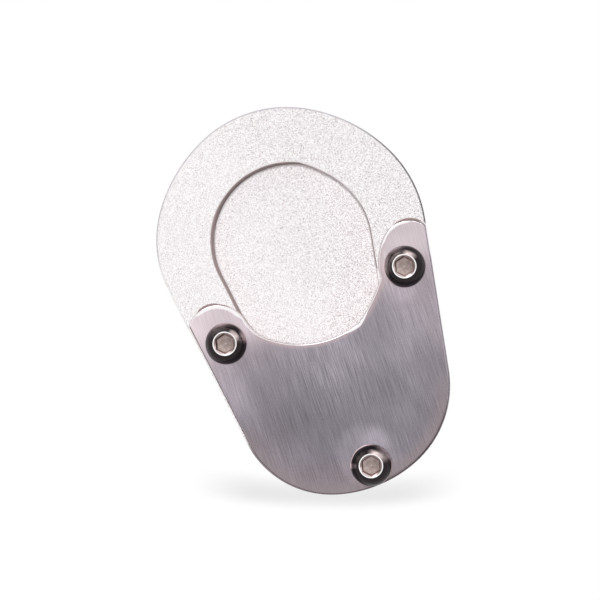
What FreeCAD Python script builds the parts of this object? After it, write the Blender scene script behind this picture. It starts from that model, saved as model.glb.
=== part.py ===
import FreeCAD, Part
import math
import os
import Sketcher

# Kickstand foot enlarger. Frame: +Z up, ring end towards +Y, heel towards -Y, origin on the
# underside at the middle of the outline. Millimetres and degrees.

doc = FreeCAD.newDocument("foot_enlarger")
UP = FreeCAD.Vector(0, 0, 1)
TOLERANCE = 1e-4

SIZES = [
    # base outline, every joint tangent
    ("overall_length", 99.8, "ring end to heel"),
    ("nose_x", -0.55, "centre of the arc at the front of the ring"),
    ("nose_radius", 30.9, "that arc"),
    ("nose_half_angle", 25.8, "half the sweep of that arc"),
    ("shoulder_radius", 39.2, "flatter arcs beside the nose"),
    ("left_corner_radius", 28.3, "arc that turns into the left side"),
    ("right_corner_radius", 30.8, "arc that turns into the right side"),
    ("left_side_reach", 31.35, "origin to the left side, square to it"),
    ("right_side_reach", 31.5, "origin to the right side, square to it"),
    ("left_taper", 8.7, "the left side leans in towards the heel"),
    ("right_taper", 9.6, "the right side leans in towards the heel"),
    ("heel_x", -1.05, "centre of the arc at the heel"),
    ("heel_radius", 33.0, "that arc"),
    ("left_heel_corner", 23.9, "arc from the left side to the heel"),
    ("right_heel_corner", 25.9, "arc from the right side to the heel"),
    # base section
    ("base_height", 11.0, "underside to the top of the ring"),
    ("floor_thickness", 4.0, "underside to the floor of the pocket"),
    ("rim_chamfer", 0.5, "outer top edge"),
    ("sole_chamfer", 0.9, "outer bottom edge"),
    ("pocket_chamfer", 0.25, "top edge of the pocket"),
    # pocket for the stand's own foot
    ("pocket_nose_x", -0.5, "centre of the front arc"),
    ("pocket_nose_radius", 20.45, "that arc"),
    ("pocket_nose_left_angle", 15.0, "sweep of that arc left of its middle, where the left corner begins"),
    ("ring_width", 14.2, "nose of the outline to nose of the pocket"),
    ("pocket_right_corner", 20.1, "arc from the flat to the right side"),
    ("pocket_flat_radius", 33.0, "flatter arc on the right of the nose"),
    ("pocket_kink_radius", 5.0, "blend between nose and flatter arc"),
    ("pocket_kink_x", 5.65, "centre of that blend"),
    ("pocket_flat_heading", 55.23, "from that centre to where the flatter arc begins, from +X"),
    ("pocket_left_reach", 17.88, "origin to the left side of the pocket, square to it"),
    ("pocket_right_reach", 17.56, "origin to the right side of the pocket, square to it"),
    ("pocket_left_taper", 8.55, "left side of the pocket"),
    ("pocket_right_taper", 9.05, "right side of the pocket"),
    ("heel_wall", 14.35, "heel of the outline to rear of the pocket, under the clamp plate"),
    ("pocket_floor_chamfer", 0.4, "left by the cutter between wall and floor"),
    # screw places
    ("left_screw_x", -23.95, "in the left lug"),
    ("left_screw_y", -3.8, "in the left lug"),
    ("right_screw_x", 24.95, "in the right lug"),
    ("right_screw_y", 0.3, "in the right lug"),
    ("heel_screw_x", 1.25, "near the heel"),
    ("heel_screw_inset", 5.6, "heel of the outline to the screw, behind the pocket"),
    # clamp plate
    ("plate_thickness", 2.5, "sheet, let in flush with the ring"),
    ("plate_margin", 0.15, "heel and right side of the base to edge of the plate"),
    ("plate_left_inset", 0.65, "left side of the base to edge of the plate"),
    ("plate_edge_round", 0.45, "polished round on its upper edge"),
    ("plate_hole_clearance", 0.3, "round each screw, on the radius"),
    ("plate_corner_radius", 1.2, "small arc from each lug's tip to its side"),
    ("left_lug_radius", 7.75, "tip of the left lug"),
    ("left_lug_out", -1.4, "centre of that arc from its screw, across"),
    ("left_lug_up", 2.7, "centre of that arc from its screw, forwards"),
    ("left_root_radius", 9.8, "lug to inner edge"),
    ("embrace_radius", 24.05, "hooked inner edge, left and middle"),
    ("embrace_x", 1.15, "centre of that arc"),
    ("embrace_y", 13.1, "centre of that arc"),
    ("plate_kink_radius", 3.0, "blend in the inner edge"),
    ("right_edge_radius", 40.4, "flatter arc of the inner edge"),
    ("right_edge_x", -14.45, "centre of that arc"),
    ("right_edge_y", 23.15, "centre of that arc"),
    ("right_root_radius", 4.0, "inner edge to lug"),
    ("right_flank_radius", 15.0, "inner side of the right lug"),
    ("right_flank_drop", 5.4, "centre of that arc below the tip arc's"),
    ("right_lug_radius", 7.2, "tip of the right lug"),
    ("right_lug_out", 2.7, "centre of the tip arc from its screw, across"),
    ("right_lug_up", 3.9, "centre of the tip arc from its screw, forwards"),
    # seat for the plate in the base
    ("seat_gap", 0.1, "round the sides of the lugs"),
    ("left_tip_gap", 0.45, "past the tip of the left lug"),
    ("right_tip_gap", 0.38, "past the tip of the right lug"),
    ("left_relief_radius", 5.5, "arc of the wall past the left tip"),
    ("right_relief_radius", 6.4, "arc of the wall past the right tip"),
    ("right_relief_out", 0.5, "centre of that arc from the tip arc's, across"),
    ("seat_turn_in", 3.4, "where the right wall of the seat meets the pocket"),
    ("cutter_run_out", 6.0, "past the heel"),
    # screws, M6 button head
    ("thread_diameter", 6.0, "M6"),
    ("shank_length", 10.0, "under the head"),
    ("head_diameter", 10.5, "M6 button head"),
    ("head_height", 3.3, "M6 button head"),
    ("head_edge", 0.35, "upright edge under the dome"),
    ("rim_diameter", 6.3, "flat round the socket"),
    ("mouth_diameter", 5.2, "countersunk mouth of the socket"),
    ("mouth_depth", 0.3, "that countersink"),
    ("socket_width", 4.0, "across flats"),
    ("socket_depth", 2.1, "from the top of the head"),
    ("drill_point_diameter", 3.4, "shallow cone in the socket's floor"),
    ("drill_point_depth", 0.45, "that cone"),
    ("thread_clearance", 0.05, "thread to tapped hole, on the radius"),
    ("tap_chamfer", 0.4, "mouth of each tapped hole in the underside"),
    ("left_screw_turn", 46.0, "how far each hexagon stopped"),
    ("right_screw_turn", 45.5, "how far each hexagon stopped"),
    ("heel_screw_turn", 45.0, "how far each hexagon stopped"),
]

sheet = doc.addObject("Spreadsheet::Sheet", "Sizes")
for row, (alias, value, note) in enumerate(SIZES, start=1):
    sheet.set(f"A{row}", alias)
    sheet.set(f"B{row}", str(value))
    sheet.set(f"C{row}", note)
    sheet.setAlias(f"B{row}", alias)
doc.recompute()
size = {alias: float(sheet.get(alias)) for alias, _, _ in SIZES}


def plane(x, y):
    return FreeCAD.Vector(x, y, 0)


def heading(degrees):
    """Unit vector in the XY plane, measured from +X."""
    return plane(math.cos(math.radians(degrees)), math.sin(math.radians(degrees)))


def circles_meet(centre_a, radius_a, centre_b, radius_b, side):
    """One crossing of two circles; side +1 is left of the way from a to b, -1 right of it."""
    gap = centre_b - centre_a
    span = gap.Length
    along = (radius_a ** 2 - radius_b ** 2 + span ** 2) / (2 * span)
    across = math.sqrt(radius_a ** 2 - along ** 2)
    way = gap / span
    return centre_a + way * along + plane(-way.y, way.x) * (side * across)


def circle_meets_line(centre, radius, point, way, side):
    """One crossing of a circle and a line; side +1 is the further one along the line."""
    foot = point + way * (centre - point).dot(way)
    half_chord = math.sqrt(radius ** 2 - (centre - foot).Length ** 2)
    return foot + way * (side * half_chord)


def arc(centre, radius, turn):
    return {"centre": centre, "radius": radius, "turn": turn}


def line(point, way):
    return {"point": point, "way": way}


def touch_point(first, second):
    """Where two neighbours of a tangent outline touch."""
    if "centre" in first and "centre" in second:
        gap = second["centre"] - first["centre"]
        if first["turn"] != second["turn"]:
            return first["centre"] + gap * (first["radius"] / gap.Length)
        if first["radius"] < second["radius"]:
            first, gap = second, gap * -1
        return first["centre"] + gap * (first["radius"] / gap.Length)
    round_one, straight = (first, second) if "centre" in first else (second, first)
    along = (round_one["centre"] - straight["point"]).dot(straight["way"])
    return straight["point"] + straight["way"] * along


def draw_outline(sketch, pieces, corners):
    """Draw a closed outline of arcs and lines. corners gives the joints that are sharp:
    the number of the piece that ends there, and the point."""
    count = len(pieces)
    ends = []
    for number in range(count):
        following = pieces[(number + 1) % count]
        ends.append(corners.get(number) or touch_point(pieces[number], following))
    for number, piece in enumerate(pieces):
        begin, finish = ends[number - 1], ends[number]
        if "centre" in piece:
            if piece["turn"] < 0:
                begin, finish = finish, begin
            from_centre = [end - piece["centre"] for end in (begin, finish)]
            angles = [math.atan2(spoke.y, spoke.x) for spoke in from_centre]
            circle = Part.Circle(piece["centre"], UP, piece["radius"])
            sketch.addGeometry(Part.ArcOfCircle(circle, angles[0], angles[1]), False)
        else:
            sketch.addGeometry(Part.LineSegment(begin, finish), False)
    for number, piece in enumerate(pieces):
        follower = (number + 1) % count
        leaves = 1 if piece.get("turn", 1) < 0 else 2
        enters = 2 if pieces[follower].get("turn", 1) < 0 else 1
        kind = "Coincident" if number in corners else "Tangent"
        sketch.addConstraint(Sketcher.Constraint(kind, number, leaves, follower, enters))


def bind(sketch, name, constraint, formula):
    """Add a named dimension to a sketch and tie it to the sheet."""
    index = sketch.addConstraint(constraint)
    sketch.renameConstraint(index, name)
    sketch.setExpression(f"Constraints.{name}", formula)


def bind_centre(sketch, piece, name, x_formula, y_formula):
    """Dimension an arc's centre from the origin. The geometry already lies at its place."""
    centre = sketch.Geometry[piece].Center
    bind(sketch, f"{name}_x", Sketcher.Constraint("DistanceX", -1, 1, piece, 3, centre.x), x_formula)
    bind(sketch, f"{name}_y", Sketcher.Constraint("DistanceY", -1, 1, piece, 3, centre.y), y_formula)


def bind_radius(sketch, piece, name, formula):
    radius = sketch.Geometry[piece].Radius
    bind(sketch, name, Sketcher.Constraint("Radius", piece, radius), formula)


def bind_slope(sketch, piece, name, formula):
    """Dimension a line's angle from +X, measured from its start."""
    way = sketch.Geometry[piece].EndPoint - sketch.Geometry[piece].StartPoint
    bind(sketch, name, Sketcher.Constraint("Angle", piece, math.atan2(way.y, way.x)), formula)


def new_body(label):
    body = doc.addObject("PartDesign::Body", label)
    body.Label = label
    return body


def new_sketch(body, name, plane_role="XY_Plane", height=None):
    """A sketch on one of the body's own planes, lifted by a formula where one is given."""
    sketch = body.newObject("Sketcher::SketchObject", name)
    planes = {feature.Role: feature for feature in body.Origin.OriginFeatures}
    sketch.AttachmentSupport = [(planes[plane_role], "")]
    sketch.MapMode = "FlatFace"
    if height:
        sketch.setExpression("AttachmentOffset.Base.z", height)
    return sketch


def pad(body, name, sketch, length):
    feature = body.newObject("PartDesign::Pad", name)
    feature.Profile = sketch
    feature.setExpression("Length", length)
    doc.recompute()
    return feature


def pocket(body, name, sketch, depth=None):
    """Cut downwards from a sketch, through everything where no depth is given."""
    before = body.Shape.Volume
    feature = body.newObject("PartDesign::Pocket", name)
    feature.Profile = sketch
    if depth:
        feature.setExpression("Length", depth)
    else:
        feature.Type = "ThroughAll"
    doc.recompute()
    if body.Shape.Volume > before - TOLERANCE:
        raise RuntimeError(f"{name} cuts nothing")
    return feature


def edge_names(shape, wanted):
    """Names of the edges for which wanted(edge) is true."""
    return [f"Edge{number}" for number, edge in enumerate(shape.Edges, start=1) if wanted(edge)]


def dress_edges(body, kind, name, wanted, property_name, formula):
    """Chamfer or fillet the edges of a body that wanted(edge) picks."""
    base = body.Tip
    names = edge_names(base.Shape, wanted)
    if not names:
        raise RuntimeError(f"{name} finds no edge")
    feature = body.newObject(f"PartDesign::{kind}", name)
    feature.Base = (base, names)
    feature.setExpression(property_name, formula)
    doc.recompute()
    return feature


def flat_at(edge, height):
    box = edge.BoundBox
    return abs(box.ZMin - height) < TOLERANCE and abs(box.ZMax - height) < TOLERANCE


def lies_on(edge, outline):
    """True for an edge whose middle is on a sketch's own lines."""
    middle = edge.valueAt((edge.FirstParameter + edge.LastParameter) / 2)
    return outline.Shape.distToShape(Part.Vertex(middle))[0] < TOLERANCE


# Places that both the base and the plate take from the sheet
half_length = size["overall_length"] / 2
heel_centre = plane(size["heel_x"], size["heel_radius"] - half_length)
screw_places = {"left": plane(size["left_screw_x"], size["left_screw_y"]),
                "right": plane(size["right_screw_x"], size["right_screw_y"]),
                "heel": plane(size["heel_screw_x"], size["heel_screw_inset"] - half_length)}
left_lug_centre = screw_places["left"] + plane(size["left_lug_out"], size["left_lug_up"])
right_lug_centre = screw_places["right"] + plane(size["right_lug_out"], size["right_lug_up"])
SCREW_Y = {"left": "Sizes.left_screw_y",
           "right": "Sizes.right_screw_y",
           "heel": "Sizes.heel_screw_inset - Sizes.overall_length / 2"}
LEFT_LUG_X = "Sizes.left_screw_x + Sizes.left_lug_out"
LEFT_LUG_Y = "Sizes.left_screw_y + Sizes.left_lug_up"
RIGHT_LUG_X = "Sizes.right_screw_x + Sizes.right_lug_out"
RIGHT_LUG_Y = "Sizes.right_screw_y + Sizes.right_lug_up"
HEEL_Y = "Sizes.heel_radius - Sizes.overall_length / 2"
SEAT_HEIGHT = "Sizes.base_height - Sizes.plate_thickness"


def right_side_line(reach, taper):
    """A right side, running up, at a reach from the origin."""
    return line(heading(-taper) * reach, heading(90 - taper))


def left_side_line(reach, taper):
    """A left side, running down, at a reach from the origin."""
    return line(heading(180 + taper) * reach, heading(taper - 90))


def outward(side):
    """Unit vector out of the outline, square to a side line."""
    return plane(side["way"].y, -side["way"].x)


def corner_on_side(side, radius, from_centre, reach, crossing):
    """Centre of an arc that touches a side line from inside and lies at a reach from a centre."""
    inside = side["point"] - outward(side) * radius
    return circle_meets_line(from_centre, reach, inside, side["way"], crossing)


def lower_outline(left_inset, right_inset):
    """The sides and heel of the base, or of the plate where they are set in."""
    right_side = right_side_line(size["right_side_reach"] - right_inset, size["right_taper"])
    left_side = left_side_line(size["left_side_reach"] - left_inset, size["left_taper"])
    heel_radius = size["heel_radius"] - right_inset
    right_radius = size["right_heel_corner"] - right_inset
    left_radius = size["left_heel_corner"] - right_inset
    right_corner = corner_on_side(right_side, right_radius, heel_centre, heel_radius - right_radius, -1)
    left_corner = corner_on_side(left_side, left_radius, heel_centre, heel_radius - left_radius, 1)
    return [left_side, arc(left_corner, left_radius, 1), arc(heel_centre, heel_radius, 1),
            arc(right_corner, right_radius, 1), right_side]


def bind_reach(sketch, side, name, formula):
    """Dimension a side line's distance from the origin."""
    geometry = sketch.Geometry[side]
    way = (geometry.EndPoint - geometry.StartPoint).normalize()
    reach = abs(geometry.StartPoint.x * way.y - geometry.StartPoint.y * way.x)
    bind(sketch, name, Sketcher.Constraint("Distance", -1, 1, side, reach), formula)


def bind_lower_outline(sketch, numbers, left_inset="0", right_inset="0"):
    side_l, corner_l, heel, corner_r, side_r = numbers
    bind_slope(sketch, side_l, "left_taper", "Sizes.left_taper - 90")
    bind_slope(sketch, side_r, "right_taper", "90 - Sizes.right_taper")
    bind_reach(sketch, side_l, "left_reach", f"Sizes.left_side_reach - {left_inset}")
    bind_reach(sketch, side_r, "right_reach", f"Sizes.right_side_reach - {right_inset}")
    bind_centre(sketch, heel, "heel", "Sizes.heel_x", HEEL_Y)
    bind_radius(sketch, heel, "heel_arc", f"Sizes.heel_radius - {right_inset}")
    bind_radius(sketch, corner_l, "left_heel_arc", f"Sizes.left_heel_corner - {right_inset}")
    bind_radius(sketch, corner_r, "right_heel_arc", f"Sizes.right_heel_corner - {right_inset}")


def draw_base_outline(sketch):
    left_side, *_, right_side = lower = lower_outline(0, 0)
    nose_centre = plane(size["nose_x"], half_length - size["nose_radius"])
    flatter_by = size["shoulder_radius"] - size["nose_radius"]
    right_shoulder = nose_centre - heading(90 - size["nose_half_angle"]) * flatter_by
    left_shoulder = nose_centre - heading(90 + size["nose_half_angle"]) * flatter_by
    right_corner = corner_on_side(right_side, size["right_corner_radius"], right_shoulder,
                                  size["shoulder_radius"] - size["right_corner_radius"], 1)
    left_corner = corner_on_side(left_side, size["left_corner_radius"], left_shoulder,
                                 size["shoulder_radius"] - size["left_corner_radius"], -1)
    draw_outline(sketch, [
        arc(nose_centre, size["nose_radius"], 1),
        arc(left_shoulder, size["shoulder_radius"], 1),
        arc(left_corner, size["left_corner_radius"], 1),
        *lower,
        arc(right_corner, size["right_corner_radius"], 1),
        arc(right_shoulder, size["shoulder_radius"], 1),
    ], {})
    nose, shoulder_l, corner_l, *lower_numbers, corner_r, shoulder_r = range(10)
    bind_lower_outline(sketch, lower_numbers)
    bind_centre(sketch, nose, "nose", "Sizes.nose_x", "Sizes.overall_length / 2 - Sizes.nose_radius")
    bind_radius(sketch, nose, "nose_arc", "Sizes.nose_radius")
    bind_radius(sketch, shoulder_r, "right_shoulder", "Sizes.shoulder_radius")
    bind_radius(sketch, shoulder_l, "left_shoulder", "Sizes.shoulder_radius")
    bind_radius(sketch, corner_r, "right_corner", "Sizes.right_corner_radius")
    bind_radius(sketch, corner_l, "left_corner", "Sizes.left_corner_radius")
    for end, name, sign in ((1, "nose_right_end", 1), (2, "nose_left_end", -1)):
        reach = nose_centre.x + sign * size["nose_radius"] * math.sin(math.radians(size["nose_half_angle"]))
        formula = f"Sizes.nose_x + {sign} * Sizes.nose_radius * sin(Sizes.nose_half_angle * 1 deg)"
        bind(sketch, name, Sketcher.Constraint("DistanceX", -1, 1, nose, end, reach), formula)


def rear_arc(left_side, right_side, rear):
    """The arc between two sides that bulges back as far as rear."""
    # its centre, at (x, rear + radius), lies a radius inside each side
    rows = []
    for side in (left_side, right_side):
        out = outward(side)
        rows.append((out.x, out.y + 1, out.dot(side["point"]) - rear * out.y))
    (a, b, c), (d, e, f) = rows
    x = (c * e - f * b) / (a * e - d * b)
    radius = (a * f - d * c) / (a * e - d * b)
    return arc(plane(x, rear + radius), radius, 1)


def arc_to_side(first, way, side):
    """The arc that leaves another where that faces way, and touches a side from inside."""
    out = outward(side)
    lean = out.dot(way)
    radius = (out.dot(side["point"] - first["centre"]) - first["radius"] * lean) / (1 - lean)
    return arc(first["centre"] + way * (first["radius"] - radius), radius, 1)


def draw_pocket(sketch):
    right_side = right_side_line(size["pocket_right_reach"], size["pocket_right_taper"])
    left_side = left_side_line(size["pocket_left_reach"], size["pocket_left_taper"])
    rear_bend = rear_arc(left_side, right_side, size["heel_wall"] - half_length)
    nose_centre = plane(size["pocket_nose_x"], half_length - size["ring_width"] - size["pocket_nose_radius"])
    nose_bend = arc(nose_centre, size["pocket_nose_radius"], 1)
    nose_left_end = heading(90 + size["pocket_nose_left_angle"])
    kink_reach = size["pocket_nose_radius"] - size["pocket_kink_radius"]
    kink_out = size["pocket_kink_x"] - size["pocket_nose_x"]
    kink = nose_centre + plane(kink_out, math.sqrt(kink_reach ** 2 - kink_out ** 2))
    flat_way = heading(size["pocket_flat_heading"])
    flat = kink - flat_way * (size["pocket_flat_radius"] - size["pocket_kink_radius"])
    right_corner = corner_on_side(right_side, size["pocket_right_corner"], flat,
                                  size["pocket_flat_radius"] - size["pocket_right_corner"], 1)
    draw_outline(sketch, [
        nose_bend,
        arc_to_side(nose_bend, nose_left_end, left_side),
        left_side,
        rear_bend,
        right_side,
        arc(right_corner, size["pocket_right_corner"], 1),
        arc(flat, size["pocket_flat_radius"], 1),
        arc(kink, size["pocket_kink_radius"], 1),
    ], {})
    nose, _, side_l, rear, side_r, corner_r, flat_arc, kink_arc = range(8)
    nose_y = "Sizes.overall_length / 2 - Sizes.ring_width - Sizes.pocket_nose_radius"
    bind_centre(sketch, nose, "nose", "Sizes.pocket_nose_x", nose_y)
    bind_radius(sketch, nose, "nose_arc", "Sizes.pocket_nose_radius")
    left_end_x = nose_centre.x + nose_left_end.x * size["pocket_nose_radius"]
    bind(sketch, "nose_left_end", Sketcher.Constraint("DistanceX", -1, 1, nose, 2, left_end_x),
         "Sizes.pocket_nose_x - Sizes.pocket_nose_radius * sin(Sizes.pocket_nose_left_angle * 1 deg)")
    bind_slope(sketch, side_l, "left_taper", "Sizes.pocket_left_taper - 90")
    bind_slope(sketch, side_r, "right_taper", "90 - Sizes.pocket_right_taper")
    bind_reach(sketch, side_l, "left_reach", "Sizes.pocket_left_reach")
    bind_reach(sketch, side_r, "right_reach", "Sizes.pocket_right_reach")
    rear_point = rear_bend["centre"] - plane(0, rear_bend["radius"])
    rearmost = sketch.addGeometry(Part.Point(rear_point), True)
    sketch.addConstraint(Sketcher.Constraint("PointOnObject", rearmost, 1, rear))
    sketch.addConstraint(Sketcher.Constraint("Vertical", rearmost, 1, rear, 3))
    bind(sketch, "rear_wall", Sketcher.Constraint("DistanceY", -1, 1, rearmost, 1, rear_point.y),
         "Sizes.heel_wall - Sizes.overall_length / 2")
    bind_radius(sketch, corner_r, "right_corner", "Sizes.pocket_right_corner")
    bind_radius(sketch, flat_arc, "flat_arc", "Sizes.pocket_flat_radius")
    bind_radius(sketch, kink_arc, "kink_arc", "Sizes.pocket_kink_radius")
    kink_place = Sketcher.Constraint("DistanceX", -1, 1, kink_arc, 3, kink.x)
    bind(sketch, "kink_x", kink_place, "Sizes.pocket_kink_x")
    flat_start_x = kink.x + size["pocket_kink_radius"] * flat_way.x
    bind(sketch, "flat_start_x", Sketcher.Constraint("DistanceX", -1, 1, kink_arc, 1, flat_start_x),
         "Sizes.pocket_kink_x + Sizes.pocket_kink_radius * cos(Sizes.pocket_flat_heading * 1 deg)")


def flank_centre(tip_centre):
    """Centre of the right lug's inner side, from the centre of its tip arc."""
    reach = size["right_flank_radius"] - size["right_lug_radius"]
    drop = size["right_flank_drop"]
    return tip_centre + plane(math.sqrt(reach ** 2 - drop ** 2), -drop)


def draw_seat(sketch):
    """Step that the plate is let into: round each lug, across the pocket and out past the heel."""
    gap = size["seat_gap"]
    left_radius = size["left_lug_radius"] + gap
    tip_radius = size["right_lug_radius"] + gap
    flank_radius = size["right_flank_radius"] + gap
    flank = flank_centre(right_lug_centre)
    turn_in = plane(flank.x - math.sqrt(flank_radius ** 2 - size["seat_turn_in"] ** 2),
                    flank.y + size["seat_turn_in"])
    inner_end = left_lug_centre + plane(left_radius, 0)
    bottom = -half_length - size["cutter_run_out"]
    left_x = left_lug_centre.x - left_radius
    right_x = right_lug_centre.x + tip_radius
    across = turn_in - inner_end
    draw_outline(sketch, [
        arc(left_lug_centre, left_radius, -1),
        line(inner_end, across / across.Length),
        arc(flank, flank_radius, -1),
        arc(right_lug_centre, tip_radius, -1),
        line(plane(right_x, 0), plane(0, -1)),
        line(plane(0, bottom), plane(-1, 0)),
        line(plane(left_x, 0), plane(0, 1)),
    ], {0: inner_end, 1: turn_in, 4: plane(right_x, bottom), 5: plane(left_x, bottom)})
    lug_l, across_line, flank_arc, tip, side_r, end_line, side_l = range(7)
    bind_centre(sketch, lug_l, "left_lug", LEFT_LUG_X, LEFT_LUG_Y)
    bind_radius(sketch, lug_l, "left_wall", "Sizes.left_lug_radius + Sizes.seat_gap")
    bind(sketch, "left_wall_end", Sketcher.Constraint("DistanceY", -1, 1, lug_l, 1, inner_end.y), LEFT_LUG_Y)
    bind_centre(sketch, tip, "right_lug", RIGHT_LUG_X, RIGHT_LUG_Y)
    bind_radius(sketch, tip, "right_tip", "Sizes.right_lug_radius + Sizes.seat_gap")
    bind_radius(sketch, flank_arc, "right_wall", "Sizes.right_flank_radius + Sizes.seat_gap")
    drop = Sketcher.Constraint("DistanceY", flank_arc, 3, tip, 3, size["right_flank_drop"])
    bind(sketch, "right_wall_drop", drop, "Sizes.right_flank_drop")
    wall_end = Sketcher.Constraint("DistanceY", flank_arc, 3, flank_arc, 2, size["seat_turn_in"])
    bind(sketch, "right_wall_end", wall_end, "Sizes.seat_turn_in")
    sketch.addConstraint(Sketcher.Constraint("Vertical", side_r))
    sketch.addConstraint(Sketcher.Constraint("Vertical", side_l))
    sketch.addConstraint(Sketcher.Constraint("Horizontal", end_line))
    bind(sketch, "run_out", Sketcher.Constraint("DistanceY", end_line, 1, -1, 1, -bottom),
         "Sizes.overall_length / 2 + Sizes.cutter_run_out")


def draw_circle(sketch, name, x_formula, y_formula, radius_formula, centre, radius):
    index = sketch.addGeometry(Part.Circle(centre, UP, radius), False)
    bind_centre(sketch, index, name, x_formula, y_formula)
    bind_radius(sketch, index, f"{name}_radius", radius_formula)


def draw_tip_reliefs(sketch):
    """A tighter arc past each lug's tip, so that the tip stands clear of the wall."""
    for side, centre, x_formula, y_formula in (
            ("left", left_lug_centre, LEFT_LUG_X, LEFT_LUG_Y),
            ("right", right_lug_centre + plane(size["right_relief_out"], 0),
             f"{RIGHT_LUG_X} + Sizes.right_relief_out", RIGHT_LUG_Y)):
        lift = size[f"{side}_lug_radius"] + size[f"{side}_tip_gap"] - size[f"{side}_relief_radius"]
        lift_formula = f"Sizes.{side}_lug_radius + Sizes.{side}_tip_gap - Sizes.{side}_relief_radius"
        draw_circle(sketch, f"{side}_relief", x_formula, f"{y_formula} + {lift_formula}",
                    f"Sizes.{side}_relief_radius", centre + plane(0, lift), size[f"{side}_relief_radius"])


def draw_screw_holes(sketch, radius, radius_formula):
    for place, centre in screw_places.items():
        draw_circle(sketch, place, f"Sizes.{place}_screw_x", SCREW_Y[place], radius_formula, centre, radius)


def make_foot_base():
    """Milled aluminium base: ring and floor in one, with the pocket and the seat cut from above."""
    body = new_body("foot_base")
    outline = new_sketch(body, "base_outline")
    draw_base_outline(outline)
    pad(body, "base_block", outline, "Sizes.base_height")
    dress_edges(body, "Chamfer", "rim_edge", lambda edge: flat_at(edge, size["base_height"]),
                "Size", "Sizes.rim_chamfer")
    dress_edges(body, "Chamfer", "sole_edge", lambda edge: flat_at(edge, 0), "Size", "Sizes.sole_chamfer")

    pocket_outline = new_sketch(body, "pocket_outline", height="Sizes.base_height")
    draw_pocket(pocket_outline)
    pocket(body, "foot_pocket", pocket_outline, "Sizes.base_height - Sizes.floor_thickness")
    dress_edges(body, "Chamfer", "pocket_floor_corner", lambda edge: flat_at(edge, size["floor_thickness"]),
                "Size", "Sizes.pocket_floor_chamfer")
    dress_edges(body, "Chamfer", "pocket_edge", lambda edge: lies_on(edge, pocket_outline),
                "Size", "Sizes.pocket_chamfer")

    seat = new_sketch(body, "seat_outline", height="Sizes.base_height")
    draw_seat(seat)
    pocket(body, "plate_seat", seat, "Sizes.plate_thickness")
    reliefs = new_sketch(body, "relief_circles", height="Sizes.base_height")
    draw_tip_reliefs(reliefs)
    pocket(body, "tip_reliefs", reliefs, "Sizes.plate_thickness")

    tapped = new_sketch(body, "tapped_hole_circles", height="Sizes.base_height")
    draw_screw_holes(tapped, size["thread_diameter"] / 2 + size["thread_clearance"],
                     "Sizes.thread_diameter / 2 + Sizes.thread_clearance")
    pocket(body, "tapped_holes", tapped)
    hole_width = size["thread_diameter"] + 2 * size["thread_clearance"]
    dress_edges(body, "Chamfer", "tap_mouths",
                lambda edge: flat_at(edge, 0) and abs(edge.BoundBox.XLength - hole_width) < TOLERANCE,
                "Size", "Sizes.tap_chamfer")
    return body


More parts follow.
